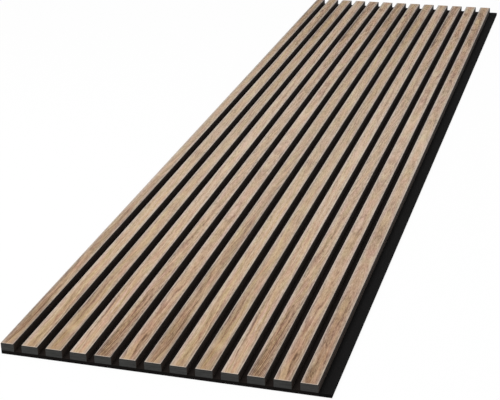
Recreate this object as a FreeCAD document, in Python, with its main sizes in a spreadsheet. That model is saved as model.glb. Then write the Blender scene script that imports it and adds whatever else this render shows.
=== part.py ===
"""Acoustic slat wall panel: thirteen wood-faced slats stapled to a felt board.

The panel lies on its felt back. X runs across the slats, Y along them and Z up through the
thickness. The origin is the middle of the back. All lengths are in millimetres.
"""

import FreeCAD, Part
import os

import Sketcher
from FreeCAD import Vector

# Driving dimensions: name, value and what it is
SIZES = (
    ("panel_length", 2400, "felt and slats, end to end"),
    ("slat_count", 13, "slats side by side"),
    ("slat_pitch", 46, "centre line of one slat to that of the next"),
    ("slat_width", 31, "a full slat"),
    ("first_slat_trim", 6, "sawn off the first slat's outer side"),
    ("felt_overhang", 23, "bare felt past the last slat, where the next panel butts"),
    ("felt_thickness", 7, "pressed felt board"),
    ("core_thickness", 14, "fibre board core of a slat"),
    ("facing_thickness", 1, "wood facing bonded on a core"),
    ("facing_bevel", 0.6, "eased long edges of a facing"),
    ("staple_rows", 6, "staples along each slat"),
    ("staple_end_distance", 100, "end of the panel to the first row of staples"),
    ("staple_crown", 12, "width of a staple over its legs"),
    ("staple_wire_width", 1.2, "staple wire, measured along the panel"),
    ("staple_wire_thickness", 0.6, "staple wire, measured the other way"),
    ("staple_sink", 0.3, "how far a crown is pressed in below the felt's back"),
    ("staple_bite", 8, "how far the legs reach into a core"),
)

# Expressions that several pieces share
PANEL_WIDTH = (
    "((sizes.slat_count - 1) * sizes.slat_pitch + sizes.slat_width"
    " - sizes.first_slat_trim + sizes.felt_overhang)"
)
FIRST_CENTRE = "(sizes.slat_width / 2 - sizes.first_slat_trim - " + PANEL_WIDTH + " / 2)"
SLAT_SPREAD = "((sizes.slat_count - 1) * sizes.slat_pitch)"
FIRST_ROW = "(sizes.staple_end_distance - sizes.panel_length / 2)"
ROW_SPREAD = "(sizes.panel_length - 2 * sizes.staple_end_distance)"
CROWN_TOP = "(sizes.staple_sink + sizes.staple_wire_thickness)"
LEG_END = "(sizes.felt_thickness + sizes.staple_bite)"
LEG_OUTSIDE = "(sizes.staple_crown / 2)"
LEG_INSIDE = "(sizes.staple_crown / 2 - sizes.staple_wire_thickness)"
HALF_WIRE = "(sizes.staple_wire_width / 2)"

# How the sketcher names the point where its axes meet, and a line's two ends
SKETCH_ORIGIN = (-1, 1)
AT_START, AT_FINISH = range(1, 3)

TOUCH = 1e-6  # two heights this close are one


def make_sheet(doc):
    """Spreadsheet of the driving dimensions, one to a row."""
    sheet = doc.addObject("Spreadsheet::Sheet", "sizes")
    for row, (alias, value, meaning) in enumerate(SIZES, start=1):
        sheet.set("A%d" % row, alias)
        sheet.set("B%d" % row, str(value))
        sheet.set("C%d" % row, meaning)
        sheet.setAlias("B%d" % row, alias)
    doc.recompute()
    return sheet


def make_body(doc, label):
    """Empty body. Its label names its file."""
    body = doc.addObject("PartDesign::Body", label)
    body.Label = label
    return body


def place_body(body, across="0", along="0", up="0"):
    """Bind the body's place to the sheet."""
    body.setExpression("Placement.Base.x", across)
    body.setExpression("Placement.Base.y", along)
    body.setExpression("Placement.Base.z", up)


def make_sketch(body, name, plane):
    """Empty sketch on one of the body's own origin planes."""
    sketch = body.newObject("Sketcher::SketchObject", name)
    matches = [item for item in body.Origin.OriginFeatures if item.Role == plane]
    sketch.AttachmentSupport = [(matches[0], "")]
    sketch.MapMode = "FlatFace"
    return sketch


def bind_point(sketch, kind, point, expression):
    """Tie a point's signed distance from the sketch's origin to an expression."""
    value = float(sketch.evalExpression(expression))
    index = sketch.addConstraint(Sketcher.Constraint(kind, *SKETCH_ORIGIN, *point, value))
    sketch.setExpression("Constraints[%d]" % index, expression)


def draw_loop(sketch, corners):
    """Draw a closed loop of lines through corners given as expressions, and return the first."""
    first = sketch.GeometryCount
    places = [
        Vector(float(sketch.evalExpression(across)), float(sketch.evalExpression(along)), 0)
        for across, along in corners
    ]
    for start, end in zip(places, places[1:] + places[:1]):
        sketch.addGeometry(Part.LineSegment(start, end))
    last = sketch.GeometryCount - 1
    for line in range(first, last + 1):
        after = first if line == last else line + 1
        sketch.addConstraint(
            Sketcher.Constraint("Coincident", line, AT_FINISH, after, AT_START)
        )
    return first


def draw_rectangle(sketch, left, right, low, high):
    """Rectangle with each side at its own expression."""
    corners = ((left, low), (right, low), (right, high), (left, high))
    bottom = draw_loop(sketch, corners)
    right_side, top, left_side = bottom + 1, bottom + 2, bottom + 3
    for line in (bottom, top):
        sketch.addConstraint(Sketcher.Constraint("Horizontal", line))
    for line in (right_side, left_side):
        sketch.addConstraint(Sketcher.Constraint("Vertical", line))
    bind_point(sketch, "DistanceX", (bottom, AT_START), left)
    bind_point(sketch, "DistanceY", (bottom, AT_START), low)
    bind_point(sketch, "DistanceX", (top, AT_START), right)
    bind_point(sketch, "DistanceY", (top, AT_START), high)


def draw_polygon(sketch, corners):
    """Polygon with each corner at its own pair of expressions."""
    first = draw_loop(sketch, corners)
    for line, (across, along) in enumerate(corners, start=first):
        bind_point(sketch, "DistanceX", (line, AT_START), across)
        bind_point(sketch, "DistanceY", (line, AT_START), along)


def draw_leg_slots(sketch, centre, row):
    """Rectangles that a staple's two legs fill, about a centre across and a row along."""
    low = row + " - " + HALF_WIRE
    high = row + " + " + HALF_WIRE
    draw_rectangle(
        sketch, centre + " - " + LEG_OUTSIDE, centre + " - " + LEG_INSIDE, low, high
    )
    draw_rectangle(
        sketch, centre + " + " + LEG_INSIDE, centre + " + " + LEG_OUTSIDE, low, high
    )


def add_pad(body, sketch, length, both_ways=False):
    """Pad a sketch by an expression, up from its plane or equally to both sides of it."""
    pad = body.newObject("PartDesign::Pad", "pad")
    pad.Profile = sketch
    pad.SideType = "Symmetric" if both_ways else "One side"
    pad.setExpression("Length", length)
    return pad


def add_pocket_upwards(body, sketch, depth):
    """Pocket a sketch on the underside up into the body by an expression."""
    pocket = body.newObject("PartDesign::Pocket", "pocket")
    pocket.Profile = sketch
    pocket.Reversed = True
    pocket.setExpression("Length", depth)
    return pocket


def repeat_along(body, sketch, features):
    """Repeat features once for each row of staples."""
    pattern = body.newObject("PartDesign::LinearPattern", "rows")
    pattern.Originals = features
    pattern.Direction = (sketch, ["V_Axis"])
    pattern.setExpression("Length", ROW_SPREAD)
    pattern.setExpression("Occurrences", "sizes.staple_rows")
    return pattern


def slat_sides(number):
    """Left and right side of a slat from its nominal centre line. The first one is trimmed."""
    trim = " + sizes.first_slat_trim" if number == 1 else ""
    return "-sizes.slat_width / 2" + trim, "sizes.slat_width / 2"


def slat_centre(number):
    """Place of a slat's nominal centre line across the panel."""
    return FIRST_CENTRE + " + %d * sizes.slat_pitch" % (number - 1)


def build_felt_backing(doc):
    """Felt board with a recess for each crown and a slot for each leg."""
    body = make_body(doc, "felt_backing")
    place_body(body)
    outline = make_sketch(body, "outline", "XY_Plane")
    draw_rectangle(
        outline,
        "-" + PANEL_WIDTH + " / 2",
        PANEL_WIDTH + " / 2",
        "-sizes.panel_length / 2",
        "sizes.panel_length / 2",
    )
    add_pad(body, outline, "sizes.felt_thickness")

    crown = make_sketch(body, "crown_recess", "XY_Plane")
    draw_rectangle(
        crown,
        FIRST_CENTRE + " - " + LEG_OUTSIDE,
        FIRST_CENTRE + " + " + LEG_OUTSIDE,
        FIRST_ROW + " - " + HALF_WIRE,
        FIRST_ROW + " + " + HALF_WIRE,
    )
    recess = add_pocket_upwards(body, crown, CROWN_TOP)

    legs = make_sketch(body, "leg_slots", "XY_Plane")
    draw_leg_slots(legs, FIRST_CENTRE, FIRST_ROW)
    slots = add_pocket_upwards(body, legs, "sizes.felt_thickness")

    pattern = repeat_along(body, legs, [recess, slots])
    pattern.Direction2 = (legs, ["H_Axis"])
    pattern.setExpression("Length2", SLAT_SPREAD)
    pattern.setExpression("Occurrences2", "sizes.slat_count")
    body.Tip = pattern
    return body


def build_slat_core(doc, number):
    """Slat core: a square-cut board with blind slots under it for the staple legs."""
    body = make_body(doc, "slat_core_%02d" % number)
    place_body(body, slat_centre(number), "0", "sizes.felt_thickness")
    left, right = slat_sides(number)
    section = make_sketch(body, "section", "XZ_Plane")
    draw_rectangle(section, left, right, "0", "sizes.core_thickness")
    add_pad(body, section, "sizes.panel_length", both_ways=True)

    legs = make_sketch(body, "leg_slots", "XY_Plane")
    draw_leg_slots(legs, "0", FIRST_ROW)
    slots = add_pocket_upwards(body, legs, "sizes.staple_bite")
    body.Tip = repeat_along(body, legs, [slots])
    return body


def build_slat_facing(doc, number):
    """Facing strip with its two long upper edges eased."""
    body = make_body(doc, "slat_facing_%02d" % number)
    place_body(body, slat_centre(number), "0", "sizes.felt_thickness + sizes.core_thickness")
    left, right = slat_sides(number)
    section = make_sketch(body, "section", "XZ_Plane")
    draw_rectangle(section, left, right, "0", "sizes.facing_thickness")
    strip = add_pad(body, section, "sizes.panel_length", both_ways=True)
    doc.recompute()

    bevel = body.newObject("PartDesign::Chamfer", "eased_edges")
    bevel.Base = (strip, long_upper_edges(strip.Shape))
    bevel.setExpression("Size", "sizes.facing_bevel")
    body.Tip = bevel
    return body


def long_upper_edges(shape):
    """Names of the edges that run along the top of a strip's two long sides."""
    top = shape.BoundBox.ZMax
    names = []
    for number, edge in enumerate(shape.Edges, start=1):
        box = edge.BoundBox
        runs_along = box.YLength > box.XLength and box.YLength > box.ZLength
        if runs_along and abs(box.ZMin - top) < TOUCH:
            names.append("Edge%d" % number)
    return names


def build_staples(doc):
    """Wire staples, one for each row and slat, with crowns down and chisel-cut legs up."""
    body = make_body(doc, "back_staples")
    place_body(body, FIRST_CENTRE, FIRST_ROW, "0")
    corners = (
        ("-" + LEG_OUTSIDE, "sizes.staple_sink"),
        (LEG_OUTSIDE, "sizes.staple_sink"),
        (LEG_OUTSIDE, LEG_END + " - sizes.staple_wire_thickness"),
        (LEG_INSIDE, LEG_END),
        (LEG_INSIDE, CROWN_TOP),
        ("-" + LEG_INSIDE, CROWN_TOP),
        ("-" + LEG_INSIDE, LEG_END),
        ("-" + LEG_OUTSIDE, LEG_END + " - sizes.staple_wire_thickness"),
    )
    wire = make_sketch(body, "bent_wire", "XZ_Plane")
    draw_polygon(wire, corners)
    staple = add_pad(body, wire, "sizes.staple_wire_width", both_ways=True)

    plan = make_sketch(body, "plan", "XY_Plane")
    pattern = repeat_along(body, plan, [staple])
    pattern.Direction2 = (plan, ["H_Axis"])
    pattern.setExpression("Length2", SLAT_SPREAD)
    pattern.setExpression("Occurrences2", "sizes.slat_count")
    body.Tip = pattern
    return body


def check(doc, bodies):
    """Stop if any object failed or any body is not a sound solid."""
    for item in doc.Objects:
        if "Invalid" in item.State or "Error" in item.State:
            raise RuntimeError(item.Name + " failed: " + ", ".join(item.State))
    for body in bodies:
        shape = body.Shape
        if shape.isNull() or not shape.isValid() or not shape.Solids:
            raise RuntimeError(body.Label + " is not a sound solid")


def main():
    doc = FreeCAD.newDocument("slat_wall_panel")
    sheet = make_sheet(doc)
    numbers = range(1, int(sheet.slat_count) + 1)

    bodies = [build_felt_backing(doc)]
    bodies += [build_slat_core(doc, number) for number in numbers]
    bodies += [build_slat_facing(doc, number) for number in numbers]
    bodies.append(build_staples(doc))
    doc.recompute()
    check(doc, bodies)

    os.makedirs("parts", exist_ok=True)
    for body in bodies:
        body.Shape.exportStep("parts/" + body.Label + ".step")
        box = body.Shape.BoundBox
        print(
            body.Label, len(body.Shape.Solids), "solids, volume", round(body.Shape.Volume, 1),
            "x", round(box.XMin, 3), round(box.XMax, 3),
            "y", round(box.YMin, 3), round(box.YMax, 3),
            "z", round(box.ZMin, 3), round(box.ZMax, 3),
        )


main()
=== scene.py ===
"""Looks of the acoustic slat wall panel: oak facings, dark board cores, black felt, wire staples.

Everything is in metres, in the part's own frame: X across the slats, Y along them, Z up.
Texture coordinates are turned into millimetres first, so every grain size below is a real one.
"""

import math
import typing

import bpy
from mathutils import Matrix, Vector


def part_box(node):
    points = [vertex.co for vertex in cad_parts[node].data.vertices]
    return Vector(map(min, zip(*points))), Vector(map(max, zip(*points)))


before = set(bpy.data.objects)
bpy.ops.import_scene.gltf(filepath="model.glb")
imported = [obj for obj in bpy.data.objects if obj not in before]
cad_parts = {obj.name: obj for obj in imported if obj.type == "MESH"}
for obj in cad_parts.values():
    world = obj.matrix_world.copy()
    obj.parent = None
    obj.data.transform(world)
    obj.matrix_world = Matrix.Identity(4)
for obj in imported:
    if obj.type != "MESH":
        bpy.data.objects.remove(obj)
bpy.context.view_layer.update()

MM = 0.001
TO_MM = 1000.0
SLAT_COUNT = sum(name.startswith("slat_facing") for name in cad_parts)
last_low, last_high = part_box("slat_facing_%02d" % SLAT_COUNT)
SLAT_WIDTH = (last_high.x - last_low.x) * TO_MM  # of every slat but the first, which is trimmed


def shade(red, green, blue):
    """Colour given as 0 to 255 screen values, turned into the linear values that shaders use."""
    def linear(value):
        value /= 255.0
        return value / 12.92 if value <= 0.04045 else ((value + 0.055) / 1.055) ** 2.4
    return (linear(red), linear(green), linear(blue), 1.0)


# Camera

CAMERA_PLACE = Vector((0.7110, -3.0134, 1.1664))
CAMERA_TARGET = Vector((-0.0470, -0.4902, 0.0220))
CAMERA_ROLL = math.radians(-1.306)
CAMERA_LENS_MM = 94.36
SENSOR_MM = 36.0
CLIP_NEAR = 0.05
CLIP_FAR = 100.0


def add_camera():
    """Camera at the photograph's viewing angle, rolled a little about its own axis."""
    data = bpy.data.cameras.new("camera")
    data.sensor_fit = "HORIZONTAL"
    data.sensor_width = SENSOR_MM
    data.lens = CAMERA_LENS_MM
    data.clip_start = CLIP_NEAR
    data.clip_end = CLIP_FAR
    camera = bpy.data.objects.new("camera", data)
    bpy.context.scene.collection.objects.link(camera)
    level = (CAMERA_TARGET - CAMERA_PLACE).to_track_quat("-Z", "Y").to_matrix().to_4x4()
    roll = Matrix.Rotation(CAMERA_ROLL, 4, "Z")
    camera.matrix_world = Matrix.Translation(CAMERA_PLACE) @ level @ roll
    bpy.context.scene.camera = camera


add_camera()


# Shader building blocks

ALONG = 1  # the place of Y, which runs along the slats, among the axes
UP = 2
FACING = (0.4, 0.6)  # cosine to an axis: aside up to the first value, facing it from the second
NOISE_AVERAGE = 0.5
MOST_NOISE = (0.2, 0.8)  # nearly all noise lies between these values


class Speckle(typing.NamedTuple):
    """Noise in space, with the size of its features along X, Y and Z in millimetres."""
    size: tuple
    detail: float
    roughness: float
    distortion: float = 0.0


class Graph:
    """Short names for the nodes of a shader tree."""

    def __init__(self, tree):
        self.nodes = tree.nodes
        self.links = tree.links

    def feed(self, socket, value):
        """Link a socket, or set it to a constant."""
        if isinstance(value, bpy.types.NodeSocket):
            self.links.new(value, socket)
        else:
            socket.default_value = value

    def math(self, operation, *values):
        node = self.nodes.new("ShaderNodeMath")
        node.operation = operation
        for socket, value in zip(node.inputs, values):
            self.feed(socket, value)
        return node.outputs[0]

    def add(self, *values):
        total = values[0]
        for value in values[1:]:
            total = self.math("ADD", total, value)
        return total

    def times(self, *values):
        total = values[0]
        for value in values[1:]:
            total = self.math("MULTIPLY", total, value)
        return total

    def position_mm(self):
        """The part frame's X, Y and Z in millimetres."""
        place = self.nodes.new("ShaderNodeTexCoord").outputs["Object"]
        split = self.nodes.new("ShaderNodeSeparateXYZ")
        scaled = self.nodes.new("ShaderNodeVectorMath")
        scaled.operation = "SCALE"
        self.feed(scaled.inputs[0], place)
        scaled.inputs["Scale"].default_value = TO_MM
        self.feed(split.inputs[0], scaled.outputs[0])
        return split.outputs[0], split.outputs[1], split.outputs[2]

    def faces(self, axis):
        """1 where the surface faces along the axis, either way, and 0 where it faces aside."""
        split = self.nodes.new("ShaderNodeSeparateXYZ")
        self.feed(split.inputs[0], self.nodes.new("ShaderNodeTexCoord").outputs["Normal"])
        return self.remap(self.math("ABSOLUTE", split.outputs[axis]), *FACING)

    def vector(self, *parts):
        node = self.nodes.new("ShaderNodeCombineXYZ")
        for socket, value in zip(node.inputs, parts):
            self.feed(socket, value)
        return node.outputs[0]

    def noise(self, place, detail, roughness, distortion=0.0):
        """Noise whose features are about one unit of the given place, from 0 to 1."""
        node = self.nodes.new("ShaderNodeTexNoise")
        node.noise_dimensions = "3D"
        self.feed(node.inputs["Vector"], place)
        node.inputs["Scale"].default_value = 1.0
        node.inputs["Detail"].default_value = detail
        node.inputs["Roughness"].default_value = roughness
        node.inputs["Distortion"].default_value = distortion
        return node.outputs["Fac"]

    def speckle(self, kind):
        """Noise of one kind all through the piece, from 0 to 1."""
        parts = [self.times(axis, 1 / size) for axis, size in zip(self.position_mm(), kind.size)]
        return self.noise(self.vector(*parts), kind.detail, kind.roughness, kind.distortion)

    def remap(self, value, low, high, to_low=0.0, to_high=1.0):
        """Stretch low to high over a new range, held at its ends."""
        node = self.nodes.new("ShaderNodeMapRange")
        node.clamp = True
        for socket, item in zip(node.inputs, (value, low, high, to_low, to_high)):
            self.feed(socket, item)
        return node.outputs[0]

    def ramp(self, value, stops):
        """Colour ramp of (place, colour) stops."""
        node = self.nodes.new("ShaderNodeValToRGB")
        self.feed(node.inputs[0], value)
        elements = node.color_ramp.elements
        while len(elements) < len(stops):
            elements.new(0.5)
        for element, (place, colour) in zip(elements, stops):
            element.position = place
            element.color = colour
        return node.outputs[0]

    def mix(self, share, first, second, blend="MIX"):
        """The first colour with a share of the second. Inputs 6 and 7 take the node's colours."""
        node = self.nodes.new("ShaderNodeMix")
        node.data_type = "RGBA"
        node.blend_type = blend
        self.feed(node.inputs[0], share)
        self.feed(node.inputs[6], first)
        self.feed(node.inputs[7], second)
        return node.outputs[2]

    def grey(self, colour, saturation, brightness):
        """The colour with less saturation and brightness, each a share of its own."""
        node = self.nodes.new("ShaderNodeHueSaturation")
        self.feed(node.inputs["Saturation"], saturation)
        self.feed(node.inputs["Value"], brightness)
        self.feed(node.inputs["Color"], colour)
        return node.outputs[0]


class Finish(Graph):
    """A new material, and the nodes that feed its shader."""

    def __init__(self, name):
        self.material = bpy.data.materials.new(name)
        self.material.use_nodes = True
        super().__init__(self.material.node_tree)
        self.shader = self.nodes["Principled BSDF"]

    def set(self, values):
        """Link or set the shader's own sockets, by their names."""
        for name, value in values.items():
            self.feed(self.shader.inputs[name], value)

    def bump(self, height, depth_mm, strength):
        """Bump from a height, where 1 stands for depth_mm."""
        node = self.nodes.new("ShaderNodeBump")
        node.inputs["Strength"].default_value = strength
        node.inputs["Distance"].default_value = depth_mm * MM
        self.feed(node.inputs["Height"], height)
        self.feed(self.shader.inputs["Normal"], node.outputs[0])


def paint(node_name, material):
    """Give a CAD node its material."""
    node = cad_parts[node_name]
    node.data.materials.clear()
    node.data.materials.append(material)


# Oak strips


class Mark(typing.NamedTuple):
    """Soft patch that is darker than the wood around it, or paler where its depth is negative."""
    along: float
    across: float
    half_length: float
    half_width: float
    depth: float
    slant: float = 0.0  # millimetres across for each millimetre along


class Knot(typing.NamedTuple):
    """Knot that the grain lines flow around."""
    along: float
    across: float
    half_length: float
    half_width: float
    lift: float  # how far it pushes the grain lines, in millimetres
    depth: float


class Board(typing.NamedTuple):
    """One strip of the printed oak sheet, whose pattern comes round again every six slats.

    Along is measured in millimetres from the panel's middle, across from the untrimmed slat's.
    Tone and depth are added to the wood's darkness, which goes from 0 to 1.
    """
    heart: float  # where across the middle of the grain's arches lies
    roundness: float  # radius of the arches' tips
    run: float  # how fast the grain lines cross the slat, millimetres for each millimetre
    tone: float
    warmth: float  # yellower above 0, pinker below it
    figure: float = 1.0  # how strongly its grain stands out
    marks: tuple = ()
    knots: tuple = ()


# Each mark and knot gives its values in the order of its class above. Near the front end of every
# board one mark is partly or wholly painted shade: it darkens the panel's front end, where less
# light falls.
BOARDS = (
    Board(
        heart=24.0, roundness=16.0, run=0.026, tone=0.07, warmth=0.02, figure=0.82,
        marks=(
            # Partly decor, partly painted shade at the panel's front end
            Mark(-1090, -2, 190, 26, 0.26),
            Mark(-800, 0, 240, 30, 0.10),
            Mark(-870, 2, 120, 2.4, -0.26, -0.095),
            Mark(-960, 8, 110, 2.0, -0.16, -0.095),
            Mark(-250, 8, 330, 7, 0.15, 0.012),
            Mark(1010, 0, 170, 26, 0.16),
        ),
    ),
    Board(
        heart=-30.0, roundness=30.0, run=0.012, tone=-0.005, warmth=0.035,
        marks=(
            # Painted shade at the panel's front end
            Mark(-1100, 0, 150, 30, 0.05),
            Mark(-650, 0, 320, 30, -0.16),
            Mark(-120, 0, 160, 30, 0.08),
            Mark(-1090, 11, 110, 4, 0.20),
            Mark(-245, 0, 16, 22, 0.16),
            Mark(-205, 0, 24, 22, -0.16),
            Mark(740, 0, 150, 30, -0.05),
            Mark(960, 6, 160, 10, 0.12),
        ),
        knots=(Knot(1052, -7, 22, 3.2, 3.0, 0.62),),
    ),
    Board(
        heart=34.0, roundness=26.0, run=0.008, tone=0.03, warmth=0.04, figure=0.82,
        marks=(
            # Partly decor, partly painted shade at the panel's front end
            Mark(-1080, 0, 160, 30, 0.09),
            Mark(-1168, 0, 46, 26, 0.08),
            Mark(-1118, -2, 12, 20, -0.20),
            Mark(-975, -4, 130, 13, 0.18),
            Mark(-1040, 10, 60, 2.5, -0.22, 0.06),
            Mark(15, 2, 60, 14, 0.12),
            Mark(140, 0, 130, 30, 0.08),
            Mark(925, -11, 180, 5, 0.24),
            Mark(1040, 0, 120, 30, 0.035),
        ),
    ),
    Board(
        heart=-26.0, roundness=14.0, run=0.014, tone=-0.11, warmth=0.0, figure=1.1,
        marks=(
            # Painted shade at the panel's front end
            Mark(-1100, 0, 160, 30, 0.12),
            Mark(-680, 0, 150, 30, -0.03),
            Mark(-200, 0, 150, 30, -0.04),
            Mark(150, 0, 110, 30, 0.06),
            Mark(-960, -8, 270, 2.8, 0.26, 0.004),
            Mark(-520, -9, 90, 2.6, 0.24, 0.010),
            Mark(-1100, 4, 120, 1.6, 0.18, 0.006),
            Mark(930, -11, 150, 4, 0.18),
            Mark(1050, 0, 130, 30, -0.04),
        ),
        knots=(Knot(735, 8, 40, 5.5, 2.5, 0.34),),
    ),
    Board(
        heart=-36.0, roundness=12.0, run=-0.052, tone=0.06, warmth=-0.005, figure=1.12,
        marks=(
            Mark(-1180, -6, 46, 12, 0.30),
            # Partly decor, partly painted shade at the panel's front end
            Mark(-1060, 3, 120, 13, 0.25),
            Mark(-1010, -8, 70, 1.8, -0.26, -0.05),
            Mark(300, 4, 260, 3, 0.16, -0.03),
            Mark(439, 0, 170, 30, -0.11),
            Mark(765, -10, 85, 4.0, 0.38),
            Mark(985, -10, 95, 4.0, 0.38),
            Mark(870, -11, 160, 4.0, 0.24),
            Mark(740, 0, 140, 30, 0.05),
        ),
    ),
    Board(
        heart=-4.0, roundness=14.0, run=-0.018, tone=-0.06, warmth=-0.02,
        marks=(
            # Partly decor, partly painted shade at the panel's front end
            Mark(-1070, 0, 170, 30, 0.18),
            Mark(0, 0, 220, 30, -0.04),
            Mark(700, 0, 120, 30, 0.07),
            Mark(1040, 0, 120, 30, -0.10),
            Mark(-1150, 8, 60, 8, 0.16),
            Mark(-850, 2, 60, 2.4, 0.26, 0.01),
            Mark(-610, 3, 90, 4, 0.20, 0.03),
            Mark(200, 9, 90, 2.6, 0.30, -0.06),
        ),
        knots=(
            Knot(-1125, 1, 36, 3.2, 3.5, 0.42),
            Knot(-205, 10, 30, 2.8, 2.0, 0.30),
        ),
    ),
    Board(
        heart=-3.0, roundness=13.0, run=0.016, tone=0.10, warmth=-0.02,
        marks=(
            # Partly decor, partly painted shade at the panel's front end
            Mark(-1070, 0, 160, 20, 0.18),
            Mark(560, 0, 340, 30, -0.13),
            Mark(-390, -6, 14, 8, -0.26),
            Mark(-120, 0, 260, 18, -0.18),
            Mark(95, 0, 14, 24, 0.28),
            Mark(190, 0, 90, 30, -0.06),
            Mark(480, 1, 230, 5, 0.20),
            Mark(880, 5, 60, 7, 0.24),
        ),
        knots=(
            Knot(-1120, -4, 60, 2.6, 2.6, 0.26),
            Knot(-960, 5, 60, 2.4, 2.2, 0.24),
            Knot(-760, -6, 70, 3.0, 2.0, 0.12),
        ),
    ),
)
LAST_BOARD = len(BOARDS) - 1  # only the last slat shows it, the others take turns with the rest
BOARD_SEEDS_APART = 60.0


# Oak grain and colours


class Layer(typing.NamedTuple):
    """Noise on the wood, with the size of its features in millimetres."""
    across: float
    along: float
    seed: float  # added to the board's own
    detail: float = 2.0
    roughness: float = 0.5
    share: float = 0.0  # how strongly it adds to the tone


WIDE_WAVE = Layer(across=45.0, along=330.0, seed=0.0)
SMALL_WAVE = Layer(across=9.0, along=70.0, seed=3.0)
BANDS = Layer(across=6.0, along=1500.0, seed=7.0, share=0.65)
STREAKS = Layer(across=2.4, along=420.0, seed=13.0, detail=3.0, roughness=0.62, share=1.10)
FIBRES = Layer(across=0.9, along=60.0, seed=19.0, detail=3.0, roughness=0.66, share=1.20)
STRETCHES = Layer(across=80.0, along=210.0, seed=47.0, share=0.40)
CLOUDS = Layer(across=26.0, along=130.0, seed=23.0, detail=3.0, roughness=0.6, share=0.22)
FLECKS = Layer(across=4.0, along=45.0, seed=31.0, share=0.50)
GRIT = Layer(across=2.0, along=14.0, seed=29.0, detail=4.0, roughness=0.7, share=1.70)
YELLOW_STREAKS = Layer(across=5.0, along=200.0, seed=37.0)
PINK_STREAKS = Layer(across=6.0, along=70.0, seed=43.0)
PORES = Layer(across=0.55, along=11.0, seed=41.0, detail=1.0)

WIDE_WAVE_PUSH = 22.0  # how far the waves push the grain lines, in millimetres
SMALL_WAVE_PUSH = 3.2
COARSE_STRENGTH = (0.93, 1.38)  # of the grain at the panel's front and back end
FINE_STRENGTH = (0.78, 1.72)
RAGGED_STREAKS = (0.25, 0.75)  # values of the streaks' noise between which a mark's strength grows
RAGGED_STRENGTH = (0.4, 1.6)

OAK_PALE = shade(205, 184, 160)
OAK_LIGHT = shade(188, 163, 136)
OAK_MIDDLE = shade(166, 140, 113)
OAK_DARK = shade(136, 109, 84)
OAK_VEIN = shade(100, 72, 50)
OAK_STOPS = (
    (0.0, OAK_PALE), (0.33, OAK_LIGHT), (0.58, OAK_MIDDLE), (0.82, OAK_DARK), (1.0, OAK_VEIN),
)
PLAIN_TONE = 0.43  # plain wood's place among these colours

YELLOW_TINT = (1.0, 0.985, 0.72, 1.0)
YELLOW_RANGE = (0.23, 0.77)  # no tint up to the first value of the noise, all of it from the second
YELLOWER_BACK = 0.05
PINK_TINT = (1.0, 0.84, 0.95, 1.0)
PINK_RANGE = (0.34, 0.66)

# Painted sheen: a paler, greyer haze about the middle of the panel's length, standing in for a
# glossy highlight
SHEEN_COLOUR = shade(246, 235, 217)
SHEEN_SHARE = 0.14  # of the painted sheen, about the sheet's middle
SHEEN_PLACE = -100.0
SHEEN_REACH = 650.0

PORE_FROM_FIBRES = 0.3
PORE_RANGE = (0.74, 0.86)
PORE_DARKNESS = 0.42

LEFT_CUT = (0.8, 1.4)  # how far the oak stops short of the left edge, at the panel's middle and back
RIGHT_CUT = (1.1, 1.3)  # and of the right edge, at its front and back
CUT_SOFTNESS = 0.15
WEAR_REACH = 9.0  # width of the greyer band along each long edge
RIGHT_WEAR_EXTRA = (-0.8, 1.0)  # how much wider it is at the right, at the front and back
WEAR_SATURATION = 0.62
WEAR_BRIGHTNESS = 0.95
# Painted highlight on the eased edges: paler where they catch the light, more along the left edges,
# which face the light, than along the right ones, which lie in shade
OAK_EDGE_HIGHLIGHT = shade(210, 200, 190)
HIGHLIGHT_REACH = (1.2, 2.6)  # width of the painted edge highlight at the front and back
LEFT_HIGHLIGHT = 0.70
RIGHT_HIGHLIGHT = 0.35
END_HIGHLIGHT = 0.65
END_HIGHLIGHT_REACH = (0.7, 2.0)
BACKER = shade(30, 26, 23)
OAK_BOTTOM = (0.10, 0.15)  # how far below the top the oak gives way to its backer

OAK_ROUGHNESS = (0.50, 0.62)  # of the palest and the darkest wood
OAK_SPECULAR = 0.2
OAK_RELIEF_MM = 0.25
OAK_RELIEF_STRENGTH = 0.6
FIBRE_RELIEF = 0.5
PORE_RELIEF = -0.6
STREAK_RELIEF = 0.3


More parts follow.
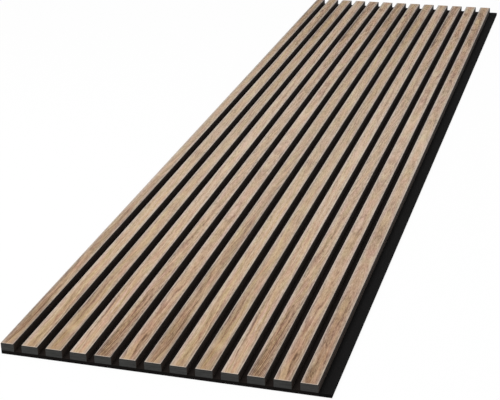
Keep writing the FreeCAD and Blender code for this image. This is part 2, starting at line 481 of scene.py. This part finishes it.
class Facing(Finish):
    """Finish of one slat's facing: its grain, its colours and its edges, in millimetres."""

    def __init__(self, number, board, seed):
        super().__init__("oak_%02d" % number)
        low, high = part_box("slat_facing_%02d" % number)
        untrimmed_middle = high.x * TO_MM - SLAT_WIDTH / 2
        x, y, z = self.position_mm()
        self.board = board
        self.seed = seed
        self.half_length = high.y * TO_MM
        self.along = y
        self.across = self.math("SUBTRACT", x, untrimmed_middle)
        self.from_left = self.math("SUBTRACT", x, low.x * TO_MM)
        self.from_right = self.math("SUBTRACT", high.x * TO_MM, x)
        self.from_end = self.math("SUBTRACT", self.half_length, self.math("ABSOLUTE", y))
        self.below_top = self.math("SUBTRACT", high.z * TO_MM, z)
        self.ring = self.grain_lines()
        self.streaks = self.layer(STREAKS, self.ring)
        self.fibres = self.layer(FIBRES, self.ring)

    def layer(self, kind, across):
        """Noise of one kind, either straight across the slat or across its grain lines."""
        place = self.vector(
            self.times(across, 1 / kind.across),
            self.times(self.along, 1 / kind.along),
            self.seed + kind.seed,
        )
        return self.noise(place, kind.detail, kind.roughness)

    def front_to_back(self, at_front, at_back):
        """A value that changes evenly from one end of the panel to the other."""
        return self.remap(self.along, -self.half_length, self.half_length, at_front, at_back)

    def middle_to_back(self, at_middle, at_back):
        """A value that stays the same up to the panel's middle, then changes evenly."""
        return self.remap(self.along, 0.0, self.half_length, at_middle, at_back)

    def near(self, spot, slant=0.0):
        """1 at the middle of a knot or mark, falling softly to 0 around it."""
        away_along = self.math("SUBTRACT", self.along, spot.along)
        away_across = self.math("SUBTRACT", self.across, spot.across)
        if slant:
            away_across = self.math("SUBTRACT", away_across, self.times(away_along, slant))
        part_along = self.times(away_along, 1 / spot.half_length)
        part_across = self.times(away_across, 1 / spot.half_width)
        spread = self.add(self.times(part_along, part_along), self.times(part_across, part_across))
        return self.math("EXPONENT", self.times(spread, -1.0))

    def grain_lines(self):
        """A height that is the same all along a grain line, and smooth but for waves and knots."""
        aside = self.math("SUBTRACT", self.across, self.board.heart)
        arch = self.math("SQRT", self.add(self.times(aside, aside), self.board.roundness ** 2))
        ring = self.add(
            arch,
            self.times(self.along, self.board.run),
            self.times(self.layer(WIDE_WAVE, self.across), WIDE_WAVE_PUSH),
            self.times(self.layer(SMALL_WAVE, self.across), SMALL_WAVE_PUSH),
        )
        for knot in self.board.knots:
            ring = self.add(ring, self.times(self.near(knot), knot.lift))
        return ring

    def blend(self, *parts):
        """Sum of noises by their shares, moved to be 0 on average."""
        total = self.add(*(self.times(noise, kind.share) for noise, kind in parts))
        return self.add(total, -NOISE_AVERAGE * sum(kind.share for noise, kind in parts))

    def grain(self):
        """Bands, streaks and fibres, 0 on average and stronger towards the back."""
        coarse = self.blend(
            (self.layer(BANDS, self.ring), BANDS),
            (self.streaks, STREAKS),
            (self.layer(STRETCHES, self.across), STRETCHES),
            (self.layer(CLOUDS, self.across), CLOUDS),
        )
        fine = self.blend(
            (self.fibres, FIBRES),
            (self.layer(FLECKS, self.ring), FLECKS),
            (self.layer(GRIT, self.across), GRIT),
        )
        return self.add(
            self.times(coarse, self.front_to_back(*COARSE_STRENGTH), self.board.figure),
            self.times(fine, self.front_to_back(*FINE_STRENGTH), self.board.figure),
        )

    def tone(self):
        """How dark the wood is: its grain, then the knots and marks on it."""
        tone = self.add(self.grain(), self.board.tone + PLAIN_TONE)
        for knot in self.board.knots:
            closeness = self.near(knot)
            tone = self.add(tone, self.times(closeness, closeness, knot.depth))
        ragged = self.remap(self.streaks, *RAGGED_STREAKS, *RAGGED_STRENGTH)
        for mark in self.board.marks:
            strength = self.times(self.near(mark, mark.slant), mark.depth)
            tone = self.add(tone, self.times(strength, ragged))
        return tone

    def tint(self, colour):
        """Some streaks yellower and some pinker."""
        yellow = self.layer(YELLOW_STREAKS, self.ring)
        yellow = self.add(yellow, self.middle_to_back(0.0, YELLOWER_BACK), self.board.warmth)
        colour = self.mix(self.remap(yellow, *YELLOW_RANGE), colour, YELLOW_TINT, "MULTIPLY")
        pink = self.add(self.layer(PINK_STREAKS, self.ring), -self.board.warmth)
        return self.mix(self.remap(pink, *PINK_RANGE), colour, PINK_TINT, "MULTIPLY")

    def painted_sheen(self, colour):
        """Painted sheen: paler and greyer about the middle of the sheet, where a glossy highlight
        falls.
        """
        away = self.times(self.math("SUBTRACT", self.along, SHEEN_PLACE), 1 / SHEEN_REACH)
        sheen = self.math("EXPONENT", self.times(away, away, -1.0))
        return self.mix(self.times(sheen, SHEEN_SHARE), colour, SHEEN_COLOUR)

    def pores(self):
        """1 in the wood's short open pores, else 0."""
        noise = self.layer(PORES, self.across)
        return self.remap(self.add(noise, self.times(self.fibres, PORE_FROM_FIBRES)), *PORE_RANGE)

    def edge(self, colour):
        """Greyer at the eased edges and paler there as a painted highlight, and dark where the oak
        ends over its backer.
        """
        left_gap = self.math("SUBTRACT", self.from_left, self.middle_to_back(*LEFT_CUT))
        right_gap = self.math("SUBTRACT", self.from_right, self.front_to_back(*RIGHT_CUT))
        right_wear = self.math("SUBTRACT", right_gap, self.front_to_back(*RIGHT_WEAR_EXTRA))
        wear = self.math("MINIMUM", left_gap, right_wear)
        saturation = self.remap(wear, 0.0, WEAR_REACH, WEAR_SATURATION, 1.0)
        brightness = self.remap(wear, 0.0, WEAR_REACH, WEAR_BRIGHTNESS, 1.0)
        colour = self.grey(colour, saturation, brightness)

        # Painted highlight along the eased edges and ends, stronger on the left than on the right
        reach = self.front_to_back(*HIGHLIGHT_REACH)
        left_highlight = self.remap(left_gap, 0.0, reach, LEFT_HIGHLIGHT, 0.0)
        right_highlight = self.remap(right_gap, 0.0, reach, RIGHT_HIGHLIGHT, 0.0)
        end_highlight = self.remap(self.from_end, *END_HIGHLIGHT_REACH, END_HIGHLIGHT, 0.0)
        edge_highlight = self.math("MAXIMUM", self.math("MAXIMUM", left_highlight, right_highlight), end_highlight)
        colour = self.mix(edge_highlight, colour, OAK_EDGE_HIGHLIGHT)

        past_oak = self.remap(self.math("MINIMUM", left_gap, right_gap), 0.0, -CUT_SOFTNESS)
        below_oak = self.remap(self.below_top, *OAK_BOTTOM)
        return self.mix(self.math("MAXIMUM", past_oak, below_oak), colour, BACKER)


def oak(number, board, seed):
    """Facing of one slat: a thin oak layer with a painted highlight along its eased edges, on a dark
    backer.
    """
    g = Facing(number, board, seed)
    tone = g.tone()
    pores = g.pores()
    # The next call mixes a painted sheen into the oak about the middle of the panel's length
    colour = g.painted_sheen(g.tint(g.ramp(tone, OAK_STOPS)))
    colour = g.mix(g.times(pores, PORE_DARKNESS), colour, OAK_VEIN)
    g.set({
        "Base Color": g.edge(colour),
        "Roughness": g.remap(tone, 0.0, 1.0, *OAK_ROUGHNESS),
        "Specular IOR Level": OAK_SPECULAR,
    })
    relief = g.add(
        g.times(g.fibres, FIBRE_RELIEF),
        g.times(pores, PORE_RELIEF),
        g.times(g.streaks, STREAK_RELIEF),
    )
    g.bump(relief, OAK_RELIEF_MM, OAK_RELIEF_STRENGTH)
    return g.material


# Dark fibre board cores

# The ends are lighter than the sides partly as sawn board and partly as painted light: the ends face
# the light, the sides lie in shade
CORE_END_SAWN_AND_LIT = shade(29, 29, 28)
CORE_END_SAWN_AND_LIT_SPECK = shade(68, 68, 66)
CORE_SIDE_AND_SHADE = shade(40, 30, 24)
CORE_SIDE_AND_SHADE_SPECK = shade(60, 47, 38)
CORE_CHIPS = Speckle(size=(0.9, 0.9, 0.5), detail=3.0, roughness=0.7)
CORE_LAYERS = Speckle(size=(30.0, 30.0, 2.2), detail=3.0, roughness=0.6)
CORE_RUBBED = Speckle(size=(4.0, 60.0, 3.0), detail=4.0, roughness=0.65)
SAWN_FROM_CHIPS = 0.6
SAWN_FROM_LAYERS = 0.6
SAWN_RANGE = (0.42, 0.82)
RUBBED_RANGE = (0.45, 0.75)
CORE_ROUGHNESS = (0.62, 0.88)
CORE_SPECULAR = 0.3
CORE_RELIEF_MM = 0.2
CORE_RELIEF_STRENGTH = 0.6
CORE_LAYER_RELIEF = 0.5


def fibre_board():
    """Dyed fibre board: painted along its sides, sawn and greyer at its two ends, and lighter there
    as painted light.
    """
    g = Finish("dark_fibre_board")
    chips = g.speckle(CORE_CHIPS)
    layers = g.speckle(CORE_LAYERS)
    sawn = g.add(g.times(chips, SAWN_FROM_CHIPS), g.times(layers, SAWN_FROM_LAYERS))
    end_colour_and_light = g.mix(g.remap(sawn, *SAWN_RANGE), CORE_END_SAWN_AND_LIT, CORE_END_SAWN_AND_LIT_SPECK)
    rubbed = g.remap(g.speckle(CORE_RUBBED), *RUBBED_RANGE)
    side_colour_and_shade = g.mix(rubbed, CORE_SIDE_AND_SHADE, CORE_SIDE_AND_SHADE_SPECK)
    g.set({
        # Lighter ends and darker sides: partly painted light and shade, chosen by the way each face
        # points
        "Base Color": g.mix(g.faces(ALONG), side_colour_and_shade, end_colour_and_light),
        "Roughness": g.remap(chips, *MOST_NOISE, *CORE_ROUGHNESS),
        "Specular IOR Level": CORE_SPECULAR,
    })
    g.bump(g.add(chips, g.times(layers, CORE_LAYER_RELIEF)), CORE_RELIEF_MM, CORE_RELIEF_STRENGTH)
    return g.material


# Felt

FELT_DARK = shade(19, 19, 19)
FELT_MIDDLE = shade(26, 25, 25)
FELT_FIBRE = shade(43, 42, 42)
# The felt is darker on its upright sides than on its top
FELT_SIDE = shade(13, 13, 13)
FELT_SIDE_SHARE = 0.7
FELT_BOUNCE_LIGHT = (1.85, 1.47, 1.28, 1.0)  # painted bounce light: browner and paler between the slats than past them
FELT_BOUNCE_LIGHT_FADE = 1.0
FELT_LUMPS = Speckle(size=(7.0, 7.0, 4.0), detail=3.0, roughness=0.6)
FELT_TANGLE = Speckle(size=(1.1, 1.1, 0.6), detail=4.0, roughness=0.7, distortion=1.6)
FIBRES_ALONG = Speckle(size=(0.35, 3.5, 0.5), detail=2.0, roughness=0.6, distortion=1.2)
FIBRES_ACROSS = Speckle(size=(3.5, 0.35, 0.5), detail=2.0, roughness=0.6, distortion=1.2)
MAT_FROM_LUMPS = 0.5
MAT_FROM_TANGLE = 0.7
MAT_RANGE = (0.35, 0.85)
PALE_FIBRE_RANGE = (0.60, 0.72)
PALE_FIBRE_SHARE = 0.7
FELT_ROUGHNESS = (0.85, 1.0)
FELT_SPECULAR = 0.03
FELT_RELIEF_MM = 0.5
FELT_RELIEF_STRENGTH = 0.8
TANGLE_RELIEF = 0.6
FELT_FIBRE_RELIEF = 0.5


def felt():
    """Pressed polyester felt: tangled fibres, some of them paler, in a soft lumpy mat."""
    g = Finish("black_felt")
    lumps = g.speckle(FELT_LUMPS)
    tangle = g.speckle(FELT_TANGLE)
    fibres = g.math("MAXIMUM", g.speckle(FIBRES_ALONG), g.speckle(FIBRES_ACROSS))
    mat = g.add(g.times(lumps, MAT_FROM_LUMPS), g.times(tangle, MAT_FROM_TANGLE))
    colour = g.mix(g.remap(mat, *MAT_RANGE), FELT_DARK, FELT_MIDDLE)
    pale_fibres = g.remap(fibres, *PALE_FIBRE_RANGE, 0.0, PALE_FIBRE_SHARE)
    colour = g.mix(pale_fibres, colour, FELT_FIBRE)
    # Painted bounce light: the felt between the slats is made browner and paler, as if lit by light
    # from the slat sides
    slats_end = last_high.x * TO_MM
    bounce_light = g.remap(g.position_mm()[0], slats_end, slats_end - FELT_BOUNCE_LIGHT_FADE)
    colour = g.mix(bounce_light, colour, FELT_BOUNCE_LIGHT, "MULTIPLY")
    # Darker on the upright sides than on top
    is_side = g.math("SUBTRACT", 1.0, g.faces(UP))
    g.set({
        "Base Color": g.mix(g.times(is_side, FELT_SIDE_SHARE), colour, FELT_SIDE),
        "Roughness": g.remap(tangle, *MOST_NOISE, *FELT_ROUGHNESS),
        "Specular IOR Level": FELT_SPECULAR,
    })
    relief = g.add(g.times(tangle, TANGLE_RELIEF), g.times(fibres, FELT_FIBRE_RELIEF), lumps)
    g.bump(relief, FELT_RELIEF_MM, FELT_RELIEF_STRENGTH)
    return g.material


# Staples

WIRE_BRIGHT = shade(196, 196, 198)
WIRE_DULL = shade(142, 142, 146)
WIRE_DRAWN = Speckle(size=(5.0, 0.15, 0.15), detail=3.0, roughness=0.6)
WIRE_PATCHES = Speckle(size=(3.0, 3.0, 3.0), detail=3.0, roughness=0.6)
DULL_RANGE = (0.35, 0.7)
ROUGHER_RANGE = (0.3, 0.7)
WIRE_ROUGHNESS = (0.25, 0.48)
WIRE_RELIEF_MM = 0.04
WIRE_RELIEF_STRENGTH = 0.5


def wire():
    """Galvanised staple wire, a little dulled in patches and drawn along the crown."""
    g = Finish("staple_wire")
    patches = g.speckle(WIRE_PATCHES)
    g.set({
        "Base Color": g.mix(g.remap(patches, *DULL_RANGE), WIRE_BRIGHT, WIRE_DULL),
        "Metallic": 1.0,
        "Roughness": g.remap(patches, *ROUGHER_RANGE, *WIRE_ROUGHNESS),
    })
    g.bump(g.speckle(WIRE_DRAWN), WIRE_RELIEF_MM, WIRE_RELIEF_STRENGTH)
    return g.material


core_material = fibre_board()
for slat_number in range(1, SLAT_COUNT + 1):
    turn = LAST_BOARD if slat_number == SLAT_COUNT else (slat_number - 1) % LAST_BOARD
    facing_material = oak(slat_number, BOARDS[turn], turn * BOARD_SEEDS_APART)
    paint("slat_facing_%02d" % slat_number, facing_material)
    paint("slat_core_%02d" % slat_number, core_material)
paint("felt_backing", felt())
paint("back_staples", wire())


# Floor and light

FLOOR_HALF = 30.0
FLOOR_DROP = 0.0002
FLOOR_WHITE = (0.95, 0.95, 0.95, 1.0)
FLOOR_ROUGHNESS = 0.9
SHOWN_WHITE = 0.95  # share of the floor's look that is plain white; the rest takes the shadow
WORLD_WHITE = (1.0, 1.0, 1.0, 1.0)
WORLD_LIGHT = 0.56
KEY_LIGHT_PLACE = Vector((-0.9, -1.3, 2.9))
KEY_LIGHT_TARGET = Vector((0.0, -0.4, 0.0))
KEY_LIGHT_SIZE = 1.8
KEY_LIGHT_WATTS = 56.0


def seen_directly(g):
    """1 for rays from the camera, or seen by it in a mirror or through glass, else 0."""
    path = g.nodes.new("ShaderNodeLightPath")
    seen = g.math("MAXIMUM", path.outputs["Is Camera Ray"], path.outputs["Is Glossy Ray"])
    return g.math("MAXIMUM", seen, path.outputs["Is Transmission Ray"])


def add_floor():
    """White floor that still takes the panel's soft shadow."""
    corners = [(-1, -1), (1, -1), (1, 1), (-1, 1)]
    mesh = bpy.data.meshes.new("floor")
    mesh.from_pydata(
        [(a * FLOOR_HALF, b * FLOOR_HALF, -FLOOR_DROP) for a, b in corners], [], [(0, 1, 2, 3)]
    )
    floor = bpy.data.objects.new("floor", mesh)
    bpy.context.scene.collection.objects.link(floor)
    g = Finish("white_floor")
    g.set({"Base Color": FLOOR_WHITE, "Roughness": FLOOR_ROUGHNESS, "Specular IOR Level": 0.0})
    glow = g.nodes.new("ShaderNodeEmission")
    blend = g.nodes.new("ShaderNodeMixShader")
    g.feed(blend.inputs[0], g.times(seen_directly(g), SHOWN_WHITE))
    g.feed(blend.inputs[1], g.shader.outputs[0])
    g.feed(blend.inputs[2], glow.outputs[0])
    g.feed(g.nodes["Material Output"].inputs["Surface"], blend.outputs[0])
    mesh.materials.append(g.material)


def add_world():
    """Even white surroundings. They show as plain white and light the panel more softly."""
    world = bpy.data.worlds.new("studio")
    bpy.context.scene.world = world
    world.use_nodes = True
    g = Graph(world.node_tree)
    background = g.nodes["Background"]
    g.feed(background.inputs["Color"], WORLD_WHITE)
    g.feed(background.inputs["Strength"], g.remap(seen_directly(g), 0.0, 1.0, WORLD_LIGHT, 1.0))


def add_key_light():
    """Square soft light above the panel's front."""
    data = bpy.data.lights.new("key_light", "AREA")
    data.shape = "SQUARE"
    data.size = KEY_LIGHT_SIZE
    data.energy = KEY_LIGHT_WATTS
    light = bpy.data.objects.new("key_light", data)
    bpy.context.scene.collection.objects.link(light)
    light.location = KEY_LIGHT_PLACE
    light.rotation_euler = (KEY_LIGHT_TARGET - KEY_LIGHT_PLACE).to_track_quat("-Z", "Y").to_euler()


add_floor()
add_world()
add_key_light()

bpy.context.scene.view_settings.view_transform = "Standard"
